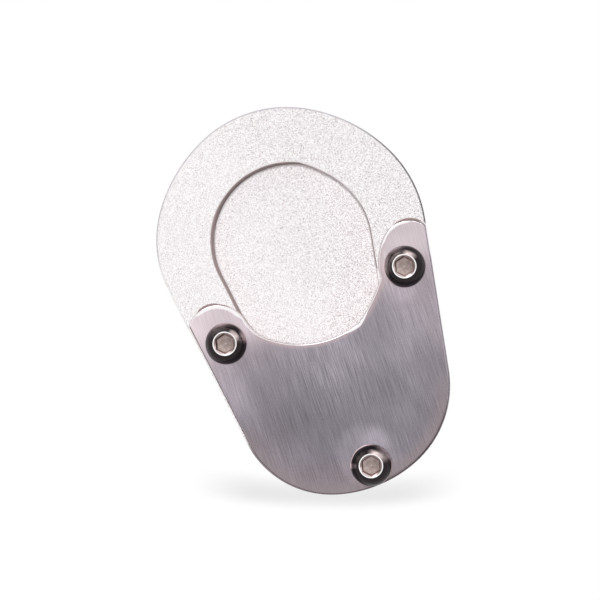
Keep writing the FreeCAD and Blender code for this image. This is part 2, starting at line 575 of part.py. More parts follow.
def draw_plate_outline(sketch):
    """Both lugs, the hooked inner edge between them, and the sides and heel just inside the base's own."""
    left_side, *heel_arcs, right_side = lower_outline(size["plate_left_inset"], size["plate_margin"])
    flank = flank_centre(right_lug_centre)
    embrace_centre = plane(size["embrace_x"], size["embrace_y"])
    edge_centre = plane(size["right_edge_x"], size["right_edge_y"])
    right_root = circles_meet(edge_centre, size["right_edge_radius"] - size["right_root_radius"],
                              flank, size["right_flank_radius"] + size["right_root_radius"], -1)
    kink = circles_meet(embrace_centre, size["embrace_radius"] - size["plate_kink_radius"],
                        edge_centre, size["right_edge_radius"] - size["plate_kink_radius"], 1)
    left_root = circles_meet(embrace_centre, size["embrace_radius"] - size["left_root_radius"],
                             left_lug_centre, size["left_lug_radius"] + size["left_root_radius"], 1)
    corner_radius = size["plate_corner_radius"]
    right_corner = corner_on_side(right_side, corner_radius, right_lug_centre,
                                  size["right_lug_radius"] - corner_radius, 1)
    left_corner = corner_on_side(left_side, corner_radius, left_lug_centre,
                                 size["left_lug_radius"] - corner_radius, -1)
    draw_outline(sketch, [
        *heel_arcs,
        right_side,
        arc(right_corner, corner_radius, 1),
        arc(right_lug_centre, size["right_lug_radius"], 1),
        arc(flank, size["right_flank_radius"], 1),
        arc(right_root, size["right_root_radius"], -1),
        arc(edge_centre, size["right_edge_radius"], -1),
        arc(kink, size["plate_kink_radius"], -1),
        arc(embrace_centre, size["embrace_radius"], -1),
        arc(left_root, size["left_root_radius"], -1),
        arc(left_lug_centre, size["left_lug_radius"], 1),
        arc(left_corner, corner_radius, 1),
        left_side,
    ], {})
    heel_l, heel, heel_r, side_r, corner_r, tip, flank_arc, root_r, *others = range(15)
    edge_arc, kink_arc, embrace, root_l, lug_l, corner_l, side_l = others
    bind_lower_outline(sketch, (side_l, heel_l, heel, heel_r, side_r),
                       "Sizes.plate_left_inset", "Sizes.plate_margin")
    bind_radius(sketch, corner_r, "right_corner", "Sizes.plate_corner_radius")
    bind_radius(sketch, corner_l, "left_corner", "Sizes.plate_corner_radius")
    bind_centre(sketch, tip, "right_lug", RIGHT_LUG_X, RIGHT_LUG_Y)
    bind_radius(sketch, tip, "right_tip", "Sizes.right_lug_radius")
    bind_radius(sketch, flank_arc, "right_flank", "Sizes.right_flank_radius")
    drop = Sketcher.Constraint("DistanceY", flank_arc, 3, tip, 3, size["right_flank_drop"])
    bind(sketch, "right_flank_drop", drop, "Sizes.right_flank_drop")
    bind_radius(sketch, root_r, "right_root", "Sizes.right_root_radius")
    bind_centre(sketch, edge_arc, "right_edge", "Sizes.right_edge_x", "Sizes.right_edge_y")
    bind_radius(sketch, edge_arc, "right_edge_arc", "Sizes.right_edge_radius")
    bind_radius(sketch, kink_arc, "kink", "Sizes.plate_kink_radius")
    bind_centre(sketch, embrace, "embrace", "Sizes.embrace_x", "Sizes.embrace_y")
    bind_radius(sketch, embrace, "embrace_arc", "Sizes.embrace_radius")
    bind_radius(sketch, root_l, "left_root", "Sizes.left_root_radius")
    bind_centre(sketch, lug_l, "left_lug", LEFT_LUG_X, LEFT_LUG_Y)
    bind_radius(sketch, lug_l, "left_lug_arc", "Sizes.left_lug_radius")


def make_clamp_plate():
    """Stainless plate, cut from sheet, with its upper edge polished round."""
    body = new_body("clamp_plate")
    outline = new_sketch(body, "plate_outline", height=SEAT_HEIGHT)
    draw_plate_outline(outline)
    pad(body, "plate_sheet", outline, "Sizes.plate_thickness")
    dress_edges(body, "Fillet", "plate_upper_edge", lambda edge: flat_at(edge, size["base_height"]),
                "Radius", "Sizes.plate_edge_round")
    holes = new_sketch(body, "clearance_hole_circles", height="Sizes.base_height")
    draw_screw_holes(holes, size["thread_diameter"] / 2 + size["plate_hole_clearance"],
                     "Sizes.thread_diameter / 2 + Sizes.plate_hole_clearance")
    pocket(body, "clearance_holes", holes)
    return body


def draw_screw_profile(sketch):
    """Half section of the screw, from the middle of its tip to the middle of its head."""
    core = size["thread_diameter"] / 2
    head = size["head_diameter"] / 2
    rim = size["rim_diameter"] / 2
    top = size["head_height"]
    tip = -size["shank_length"]
    points = [(0, tip), (core, tip), (core, 0), (head, 0), (head, size["head_edge"]), (rim, top), (0, top)]
    tip_face, shank, bearing, edge, dome, rim_face, axis = range(7)
    for number, (x, z) in enumerate(points):
        next_x, next_z = points[(number + 1) % len(points)]
        if number != dome:
            sketch.addGeometry(Part.LineSegment(plane(x, z), plane(next_x, next_z)), False)
            continue
        rise = next_z - z
        centre_z = z + (rise ** 2 + next_x ** 2 - x ** 2) / (2 * rise)
        radius = math.hypot(x, z - centre_z)
        circle = Part.Circle(plane(0, centre_z), UP, radius)
        angles = (math.atan2(z - centre_z, x), math.atan2(next_z - centre_z, next_x))
        sketch.addGeometry(Part.ArcOfCircle(circle, *angles), False)
    for number in range(len(points)):
        follower = (number + 1) % len(points)
        sketch.addConstraint(Sketcher.Constraint("Coincident", number, 2, follower, 1))
    for flat in (tip_face, bearing, rim_face):
        sketch.addConstraint(Sketcher.Constraint("Horizontal", flat))
    for upright in (shank, edge, axis):
        sketch.addConstraint(Sketcher.Constraint("Vertical", upright))
    sketch.addConstraint(Sketcher.Constraint("PointOnObject", axis, 1, -2))
    sketch.addConstraint(Sketcher.Constraint("PointOnObject", dome, 3, -2))
    sketch.addConstraint(Sketcher.Constraint("PointOnObject", bearing, 1, -1))
    for name, first, second, kind, reach, formula in (
            ("shank_radius", (-1, 1), (shank, 1), "DistanceX", core, "Sizes.thread_diameter / 2"),
            ("head_radius", (-1, 1), (edge, 1), "DistanceX", head, "Sizes.head_diameter / 2"),
            ("rim_radius", (-1, 1), (rim_face, 1), "DistanceX", rim, "Sizes.rim_diameter / 2"),
            ("head_height", (-1, 1), (rim_face, 1), "DistanceY", top, "Sizes.head_height"),
            ("edge_height", (edge, 1), (edge, 2), "DistanceY", size["head_edge"], "Sizes.head_edge"),
            ("shank_length", (tip_face, 1), (-1, 1), "DistanceY", -tip, "Sizes.shank_length")):
        bind(sketch, name, Sketcher.Constraint(kind, *first, *second, reach), formula)


def draw_cone_section(sketch, top, top_formula, radius, radius_formula, depth, depth_formula):
    """Half section of a cone that opens upwards: along its mouth, down the slope and back up the axis."""
    points = [(0, top), (radius, top), (0, top - depth)]
    for number, (x, z) in enumerate(points):
        sketch.addGeometry(Part.LineSegment(plane(x, z), plane(*points[(number + 1) % 3])), False)
    for number in range(3):
        sketch.addConstraint(Sketcher.Constraint("Coincident", number, 2, (number + 1) % 3, 1))
    sketch.addConstraint(Sketcher.Constraint("Horizontal", 0))
    sketch.addConstraint(Sketcher.Constraint("Vertical", 2))
    sketch.addConstraint(Sketcher.Constraint("PointOnObject", 2, 1, -2))
    bind(sketch, "mouth_height", Sketcher.Constraint("DistanceY", -1, 1, 0, 1, top), top_formula)
    bind(sketch, "mouth_radius", Sketcher.Constraint("DistanceX", 0, 1, 0, 2, radius), radius_formula)
    bind(sketch, "cone_depth", Sketcher.Constraint("DistanceY", 2, 1, 2, 2, depth), depth_formula)


def draw_hexagon(sketch, width, width_formula):
    """Hexagon with a corner on the sketch's +Y, sized across its flats."""
    corner_reach = width / math.sqrt(3)
    corners = [heading(90 + 60 * step) * corner_reach for step in range(6)]
    for number, corner in enumerate(corners):
        sketch.addGeometry(Part.LineSegment(corner, corners[(number + 1) % 6]), False)
    pitch_circle = sketch.addGeometry(Part.Circle(plane(0, 0), UP, corner_reach), True)
    sketch.addConstraint(Sketcher.Constraint("Coincident", pitch_circle, 3, -1, 1))
    for number in range(6):
        sketch.addConstraint(Sketcher.Constraint("Coincident", number, 2, (number + 1) % 6, 1))
        sketch.addConstraint(Sketcher.Constraint("PointOnObject", number, 1, pitch_circle))
        if number:
            sketch.addConstraint(Sketcher.Constraint("Equal", 0, number))
    sketch.addConstraint(Sketcher.Constraint("PointOnObject", 0, 1, -2))
    bind_radius(sketch, pitch_circle, "corner_reach", f"{width_formula} / sqrt(3)")


def revolve(body, kind, name, sketch):
    feature = body.newObject(f"PartDesign::{kind}", name)
    feature.Profile = sketch
    feature.ReferenceAxis = (sketch, ["V_Axis"])
    feature.Angle = 360
    doc.recompute()
    return feature


def make_screw(place):
    """Button head socket screw, seated on the plate, its hexagon turned to where it stopped."""
    label = {"left": "screw_left_lug", "right": "screw_right_lug", "heel": "screw_heel"}[place]
    body = new_body(label)
    profile = new_sketch(body, f"{label}_section", "XZ_Plane")
    draw_screw_profile(profile)
    revolve(body, "Revolution", f"{label}_blank", profile)

    hexagon = new_sketch(body, f"{label}_hexagon", height="Sizes.head_height")
    draw_hexagon(hexagon, size["socket_width"], "Sizes.socket_width")
    pocket(body, f"{label}_socket", hexagon, "Sizes.socket_depth")

    floor_height = size["head_height"] - size["socket_depth"]
    for cut, height, height_formula, width in (
            ("mouth", size["head_height"], "Sizes.head_height", "mouth_diameter"),
            ("drill_point", floor_height, "Sizes.head_height - Sizes.socket_depth", "drill_point_diameter")):
        cone = new_sketch(body, f"{label}_{cut}_section", "XZ_Plane")
        draw_cone_section(cone, height, height_formula, size[width] / 2, f"Sizes.{width} / 2",
                          size[f"{cut}_depth"], f"Sizes.{cut}_depth")
        revolve(body, "Groove", f"{label}_{cut}", cone)

    body.setExpression("Placement.Base.x", f"Sizes.{place}_screw_x")
    body.setExpression("Placement.Base.y", SCREW_Y[place])
    body.setExpression("Placement.Base.z", "Sizes.base_height")
    body.setExpression("Placement.Rotation.Angle", f"Sizes.{place}_screw_turn")
    doc.recompute()
    return body


pieces = [make_foot_base(), make_clamp_plate()] + [make_screw(place) for place in screw_places]
doc.recompute()

failed = [item.Name for item in doc.Objects if "Invalid" in item.State or "Error" in item.State]
loose = [item.Name for item in doc.Objects
         if item.TypeId == "Sketcher::SketchObject" and not item.FullyConstrained]
unsound = [body.Label for body in pieces
           if body.Shape.isNull() or not body.Shape.isValid() or len(body.Shape.Solids) != 1]
if failed or loose or unsound:
    raise RuntimeError(f"failed {failed}, loose sketches {loose}, unsound {unsound}")

os.makedirs("parts", exist_ok=True)
for body in pieces:
    body.Shape.exportStep(f"parts/{body.Label}.step")
    box = body.Shape.BoundBox
    print(f"{body.Label}: {body.Shape.Volume:.0f} mm3, x {box.XMin:.2f} to {box.XMax:.2f}, "
          f"y {box.YMin:.2f} to {box.YMax:.2f}, z {box.ZMin:.2f} to {box.ZMax:.2f}")
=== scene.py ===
import math

import bmesh
import bpy
from mathutils import Matrix, Vector


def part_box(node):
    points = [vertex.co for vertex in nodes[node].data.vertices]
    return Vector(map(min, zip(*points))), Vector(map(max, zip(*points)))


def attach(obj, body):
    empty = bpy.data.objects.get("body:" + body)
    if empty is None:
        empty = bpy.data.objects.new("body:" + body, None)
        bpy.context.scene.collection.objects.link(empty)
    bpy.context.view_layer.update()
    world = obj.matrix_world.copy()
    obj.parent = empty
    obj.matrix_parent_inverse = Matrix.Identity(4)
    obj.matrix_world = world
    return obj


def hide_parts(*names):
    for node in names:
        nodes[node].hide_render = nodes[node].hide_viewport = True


# Kickstand foot enlarger: bead blasted aluminium base, brushed stainless clamp plate, three polished screws.
# Metres and degrees. +Y runs from the heel to the ring end, +Z is up.
# A pair in a dictionary is mostly where a mask starts and where it is full. Tilts are the upward part of a
# normal. Sides are a heading in the picture, with the cosines where they start and are full.

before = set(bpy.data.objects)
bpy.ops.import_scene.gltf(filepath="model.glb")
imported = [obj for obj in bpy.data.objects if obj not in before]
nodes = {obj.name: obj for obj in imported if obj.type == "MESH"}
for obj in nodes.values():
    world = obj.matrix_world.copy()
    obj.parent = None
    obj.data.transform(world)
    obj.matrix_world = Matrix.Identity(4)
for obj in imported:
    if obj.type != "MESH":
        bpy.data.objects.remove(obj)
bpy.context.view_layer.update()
mm = 0.001
lengthwise = Vector((0, 1, 0))
crosswise = Vector((1, 0, 0))
pictureTurn = 18.47                       # the photograph's up, clockwise from +Y


def middleOf(node):
    low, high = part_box(node)
    return (low + high) / 2


def sine(degrees):
    return math.sin(math.radians(degrees))


def cosine(degrees):
    return math.cos(math.radians(degrees))


def flatWay(degrees):
    # unit vector in the floor's plane, clockwise from +Y
    return Vector((sine(degrees), cosine(degrees), 0))


def inPicture(degrees):
    # the same, clockwise from the picture's up
    return flatWay(pictureTurn + degrees)


# what several pieces need
screwNodes = {"leftScrew": "screw_left_lug", "rightScrew": "screw_right_lug", "heelScrew": "screw_heel"}
screwPlaces = {name: middleOf(node) for name, node in screwNodes.items()}
lugMiddles = {
    "left": screwPlaces["leftScrew"] + Vector((-1.4, 2.7, 0)) * mm,
    "right": screwPlaces["rightScrew"] + Vector((2.7, 3.9, 0)) * mm,
}
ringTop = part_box("foot_base")[1].z
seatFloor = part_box("clamp_plate")[0].z
pictureUp = inPicture(0)
pictureRight = inPicture(90)
leftFlank = flatWay(-98.7)                # square to the straight flanks
rightFlank = flatWay(99.6)
print("frame loaded, ring top at", round(ringTop / mm, 2), "mm")


class Wire:
    # one output of a node, so that shader maths reads as a plain expression
    def __init__(self, graph, socket):
        self.graph = graph
        self.socket = socket

    def maths(self, operation, *others):
        return self.graph.maths(operation, self, *others)

    def __add__(self, other):
        return self.maths("ADD", other)

    def __sub__(self, other):
        return self.maths("SUBTRACT", other)

    def __mul__(self, other):
        return self.maths("MULTIPLY", other)

    def __truediv__(self, other):
        return self.maths("DIVIDE", other)

    def __pow__(self, other):
        return self.maths("POWER", other)

    def __rsub__(self, other):
        return self.graph.maths("SUBTRACT", other, self)

    __radd__ = __add__
    __rmul__ = __mul__

    def least(self, other):
        return self.maths("MINIMUM", other)

    def most(self, other):
        return self.maths("MAXIMUM", other)

    def size(self):
        return self.maths("ABSOLUTE")

    def rise(self, start, end):
        # 0 before start, 1 after end, smooth between; start may be the larger one
        if start > end:
            return 1 - self.rise(end, start)
        sockets = {"Value": self, "From Min": start, "From Max": end}
        return self.graph.node("ShaderNodeMapRange", {"interpolation_type": "SMOOTHSTEP"}, sockets)

    def within(self, middle, inner, outer):
        # 1 up to inner from the middle, 0 beyond outer
        return self.rise(middle + outer, middle + inner) * self.rise(middle - outer, middle - inner)

    def swing(self, share):
        # noise about zero
        return (self - 0.5) * share


class Graph:
    def __init__(self, owner):
        owner.use_nodes = True
        self.tree = owner.node_tree
        self.tree.nodes.clear()

    def node(self, kind, settings=None, sockets=None, out=0):
        made = self.tree.nodes.new(kind)
        for name, value in (settings or {}).items():
            setattr(made, name, value)
        for name, value in (sockets or {}).items():
            if isinstance(value, Wire):
                self.tree.links.new(value.socket, made.inputs[name])
            else:
                made.inputs[name].default_value = value
        return Wire(self, made.outputs[out]) if len(made.outputs) else None

    def maths(self, operation, *values):
        return self.node("ShaderNodeMath", {"operation": operation}, dict(enumerate(values)))

    def vectorMaths(self, operation, first, second, out=0):
        return self.node("ShaderNodeVectorMath", {"operation": operation}, {0: first, 1: second}, out)

    def dot(self, vector, way):
        return self.vectorMaths("DOT_PRODUCT", vector, way, 1)

    def less(self, vector, point):
        return self.vectorMaths("SUBTRACT", vector, point)

    def blend(self, mask, first, second):
        colours = [tone if isinstance(tone, Wire) else (*tone, 1) for tone in (first, second)]
        return self.node("ShaderNodeMix", {"data_type": "RGBA"}, {0: mask, 6: colours[0], 7: colours[1]}, 2)

    def shaded(self, colour, factor):
        # a colour made darker or lighter by a number
        return self.node("ShaderNodeVectorMath", {"operation": "SCALE"}, {0: colour, "Scale": factor})

    def place(self):
        return self.node("ShaderNodeTexCoord", out=3)

    def facing(self):
        return self.node("ShaderNodeNewGeometry", out=1)

    def faces(self, normal, heading, start, end):
        # 1 where the surface faces a heading in the picture
        return self.dot(normal, inPicture(heading)).rise(start, end)

    def outputs(self, wire, names):
        return [Wire(self, wire.socket.node.outputs[name]) for name in names]

    def parts(self, vector):
        return self.outputs(self.node("ShaderNodeSeparateXYZ", None, {0: vector}), (0, 1, 2))

    def seenDirectly(self):
        # 1 for what the camera sees, mirrored or not
        rays = self.node("ShaderNodeLightPath")
        return highest(self.outputs(rays, ("Is Camera Ray", "Is Glossy Ray", "Is Transmission Ray")))

    def noise(self, vector, scale, detail=2.0, rough=0.5):
        return self.node("ShaderNodeTexNoise", None,
                         {"Vector": vector, "Scale": scale, "Detail": detail, "Roughness": rough})

    def specks(self, vector, scale):
        # a chance value for each small cell
        cells = self.node("ShaderNodeTexVoronoi", None, {"Vector": vector, "Scale": scale}, 1)
        return self.parts(cells)[0]

    def streaks(self, vector, lengthScale, crossScale):
        # noise drawn out lengthwise
        along = self.dot(vector, lengthwise) * lengthScale
        across = self.dot(vector, crosswise) * crossScale
        return self.noise(self.node("ShaderNodeCombineXYZ", None, {0: along, 1: across}), 1.0, 2.0, 0.55)

    def bump(self, height, strength, distance):
        sockets = {"Height": height, "Strength": strength, "Distance": distance}
        return self.node("ShaderNodeBump", None, sockets)

    def finish(self, sockets):
        shader = self.node("ShaderNodeBsdfPrincipled", None, sockets)
        self.node("ShaderNodeOutputMaterial", None, {"Surface": shader})


def highest(masks):
    # the largest of several masks at each place
    result = masks[0]
    for mask in masks[1:]:
        result = result.most(mask)
    return result


def newMaterial(name):
    material = bpy.data.materials.new(name)
    return material, Graph(material)


def dress(piece, material):
    piece.data.materials.clear()
    piece.data.materials.append(material)


def newObject(name, data):
    made = bpy.data.objects.new(name, data)
    bpy.context.scene.collection.objects.link(made)
    return made


def meshFrom(bm, name):
    mesh = bpy.data.meshes.new(name)
    bm.to_mesh(mesh)
    bm.free()
    return mesh


# aluminium base
baseLook = {
    "white": (0.991, 0.974, 0.980),
    "floorWhite": (0.984, 0.971, 0.981),
    "speck": (0.22, 0.13, 0.145),
    # outer rim: painted shade, darker on the picture's right, and painted light at its lower left
    "rim": (0.60, 0.565, 0.61),
    "rimPaintedShade": (0.085, 0.072, 0.08),
    "rimPaintedLight": (0.97, 0.955, 0.95),
    # painted shade on the ledge at the right and round the heel
    "ledgeShade": (0.22, 0.185, 0.20),
    # pocket chamfer: lit, with painted shade on the left and on the right
    "chamferLit": (0.91, 0.87, 0.875),
    "chamferLeftShade": (0.50, 0.40, 0.40),
    "chamferShade": (0.34, 0.26, 0.26),
    # pocket and seat walls: painted shade, deepest low down, and painted bounce light on the far side
    "wall": (0.43, 0.32, 0.315),
    "wallDeepShade": (0.14, 0.085, 0.08),
    "wallBounceLight": (0.66, 0.57, 0.58),
    # painted shade along the foot of the walls
    "corner": (0.30, 0.22, 0.22),
    # painted bounce light glowing in the slit round the lugs, and painted shade
    "slit": (0.68, 0.64, 0.65),           # bounce light round the lugs
    "crescentDimGlow": (0.24, 0.175, 0.17),
    "slitShade": (0.10, 0.075, 0.075),
    "roughness": 0.62,
    "specular": 0.35,
    "grain": 9000,                        # per metre
    "grainDepth": 0.02 * mm,
    "grainStrength": 0.35,
    "speckPower": 3,
    "lighter": 0.23,                      # fewer specks towards the left, and less so on the floor
    "lighterReach": (-10 * mm, 10 * mm),
    "lighterLean": 0.5,
    "lighterLoss": 0.3,
    # painted shade: the pocket's floor darker beside its right wall
    "duller": 0.15,                       # more specks on the right of the pocket's floor
    "dullerReach": (-2 * mm, 14 * mm),
    "floorHeight": (5 * mm, 4.5 * mm),
    "pocketMiddle": Vector((0, 12 * mm, 0)),
    "outwards": (0, 2 * mm),
    "inwards": (0, -2 * mm),
    "rimTilt": (0.97, 0.85),
    "rimHeight": (10.98 * mm, 10.7 * mm),
    "rimShadeSide": (78, 0.38, 0.66),
    "rimLitSide": (-125, 0.635, 0.69),
    "ledgeHeight": (seatFloor, 0.1 * mm, 0.2 * mm),
    "stripReach": (30.6 * mm, 30.7 * mm),
    "stripAhead": (-33 * mm, -27 * mm),
    "stripEdge": (31.21 * mm, 31.33 * mm),
    "stripDots": 900,
    "dotRange": (0.42, 0.6),
    "rightLedge": (31.15 * mm, 31.25 * mm),
    "heelLedge": (-11 * mm, -12 * mm),
    "chamferTilt": (0.9, 0.8),
    "chamferHeight": (ringTop - 0.4 * mm, ringTop - 0.3 * mm),
    "chamferLeftSide": (80, 0.45, 0.65),
    "chamferRightSide": (-80, 0.42, 0.62),
    "wallTilt": (0.6, 0.2),
    "upperLeft": inPicture(148),          # the way that the wall faces there
    "deepSide": (0.55, 0.9),
    "deepHeight": (10.3 * mm, 5.5 * mm),
    "farSide": (-115, 0.5, 0.9),
    "cornerHeight": (4.35 * mm, 0.05 * mm, 0.15 * mm),
    "cornerTilt": (0.95, 0.8),
    "cornerSide": (0.6, 0.85),
    "slitReach": (11 * mm, 10 * mm),      # from a lug's middle
    "slitAhead": (-4 * mm, -2 * mm),
    "slitFoot": (seatFloor - 0.1 * mm, seatFloor - 0.05 * mm),
    "slitTop": (ringTop - 0.02 * mm, ringTop - 0.12 * mm),
    "slitFloorTilt": (0.9, 0.99),
    "facesLug": (0.5 * mm, -0.5 * mm),
    "crescents": {"left": (-10, 30), "right": (-7, 24)},   # heading, half width
    "crescentFade": 1.4,
}


def blastedAluminium():
    look = baseLook
    material, g = newMaterial("blastedAluminium")
    place = g.place()
    normal = g.facing()
    height = g.parts(place)[2]
    facesUp = g.parts(normal)[2]
    tilt = facesUp.size()
    right = g.dot(place, pictureRight)
    up = g.dot(place, pictureUp)
    ahead = g.dot(place, lengthwise)
    # blasted grain
    chance = g.specks(place, look["grain"])
    below = height.rise(*look["floorHeight"])
    leftward = right * -1 - up * look["lighterLean"]
    lighter = leftward.rise(*look["lighterReach"]) * look["lighter"] * (1 - below * look["lighterLoss"])
    # painted shade on the right of the pocket's floor
    duller = right.rise(*look["dullerReach"]) * below * look["duller"]
    dark = (1 - chance) ** look["speckPower"] * (1 - lighter + duller)
    top = g.blend(dark, g.blend(below, look["white"], look["floorWhite"]), look["speck"])
    # outer rim: painted shade as a grey line, dark on the picture's right, and painted light at its lower
    # left
    outwards = g.dot(g.less(place, look["pocketMiddle"]), normal)
    rimMask = outwards.rise(*look["outwards"]) * tilt.rise(*look["rimTilt"]) * height.rise(*look["rimHeight"])
    rim = g.blend(g.faces(normal, *look["rimShadeSide"]), look["rim"], look["rimPaintedShade"])
    rim = g.blend(g.faces(normal, *look["rimLitSide"]), rim, look["rimPaintedLight"])
    top = g.blend(rimMask, top, rim)
    # ledge beside the plate: pale with a dotted line of painted shade on its edge on the left, painted shade
    # on the right and round the heel
    ledge = height.within(*look["ledgeHeight"])
    fromLeft = g.dot(place, leftFlank)
    alongside = ahead.rise(*look["stripAhead"])
    strip = fromLeft.rise(*look["stripReach"]) * alongside
    dotted = g.noise(place, look["stripDots"], 1.0).rise(*look["dotRange"])
    shadeDots = fromLeft.rise(*look["stripEdge"]) * dotted * alongside
    inShade = g.dot(place, rightFlank).rise(*look["rightLedge"])
    inShade = inShade.most(ahead.rise(*look["heelLedge"]) * (1 - strip))
    top = g.blend(inShade * ledge, top, look["ledgeShade"])
    top = g.blend(shadeDots * ledge, top, look["rim"])
    # edge of the pocket: a pale chamfer with painted shade, duller on the left, dark on the right
    inwards = outwards.rise(*look["inwards"])
    chamfer = tilt.rise(*look["chamferTilt"]) * inwards * height.rise(*look["chamferHeight"])
    tone = g.blend(g.faces(normal, *look["chamferLeftSide"]), look["chamferLit"], look["chamferLeftShade"])
    tone = g.blend(g.faces(normal, *look["chamferRightSide"]), tone, look["chamferShade"])
    top = g.blend(chamfer, top, tone)
    # walls of the pocket and of the plate's seat face inwards: painted shade, darkest low down at the
    # picture's upper left, with painted bounce light on the far side
    wall = tilt.rise(*look["wallTilt"]) * inwards
    upperLeft = g.dot(normal, look["upperLeft"])
    deepShade = upperLeft.rise(*look["deepSide"]) * height.rise(*look["deepHeight"])
    tone = g.blend(deepShade, look["wall"], look["wallDeepShade"])
    tone = g.blend(g.faces(normal, *look["farSide"]), tone, look["wallBounceLight"])
    colour = g.blend(wall, top, tone)
    # painted shade on the upper part of the chamfer that the cutter left along the floor
    corner = height.within(*look["cornerHeight"]) * tilt.rise(*look["cornerTilt"])
    colour = g.blend(corner * inwards * upperLeft.rise(*look["cornerSide"]), colour, look["corner"])
    # the narrow slit between lug and seat: painted shade in its colour and painted bounce light glowing in
    # it, dimmer and brown where it is widest
    glow = (0, 0, 0)
    slitFloor = facesUp.rise(*look["slitFloorTilt"])
    for side, middle in lugMiddles.items():
        fromLug = g.less(place, middle)
        reach = g.dot(fromLug, fromLug) ** 0.5
        facesLug = g.dot(fromLug, normal).rise(*look["facesLug"])
        inSlit = reach.rise(*look["slitReach"]) * facesLug.most(slitFloor)
        inSlit = inSlit * g.dot(fromLug, lengthwise).rise(*look["slitAhead"])
        inSlit = inSlit * height.rise(*look["slitFoot"]) * height.rise(*look["slitTop"])
        heading, halfWidth = look["crescents"][side]
        towards = g.dot(fromLug, inPicture(heading)) / reach
        wide = towards.rise(cosine(halfWidth * look["crescentFade"]), cosine(halfWidth))
        glow = g.blend(inSlit, glow, g.blend(wide, look["slit"], look["crescentDimGlow"]))
        colour = g.blend(inSlit, colour, look["slitShade"])
    relief = g.bump(chance, look["grainStrength"], look["grainDepth"])
    g.finish({"Base Color": colour, "Roughness": look["roughness"], "Metallic": 0.0, "Normal": relief,
              "Specular IOR Level": look["specular"], "Emission Color": glow, "Emission Strength": 1.0})
    return material


dress(nodes["foot_base"], blastedAluminium())
print("base dressed")


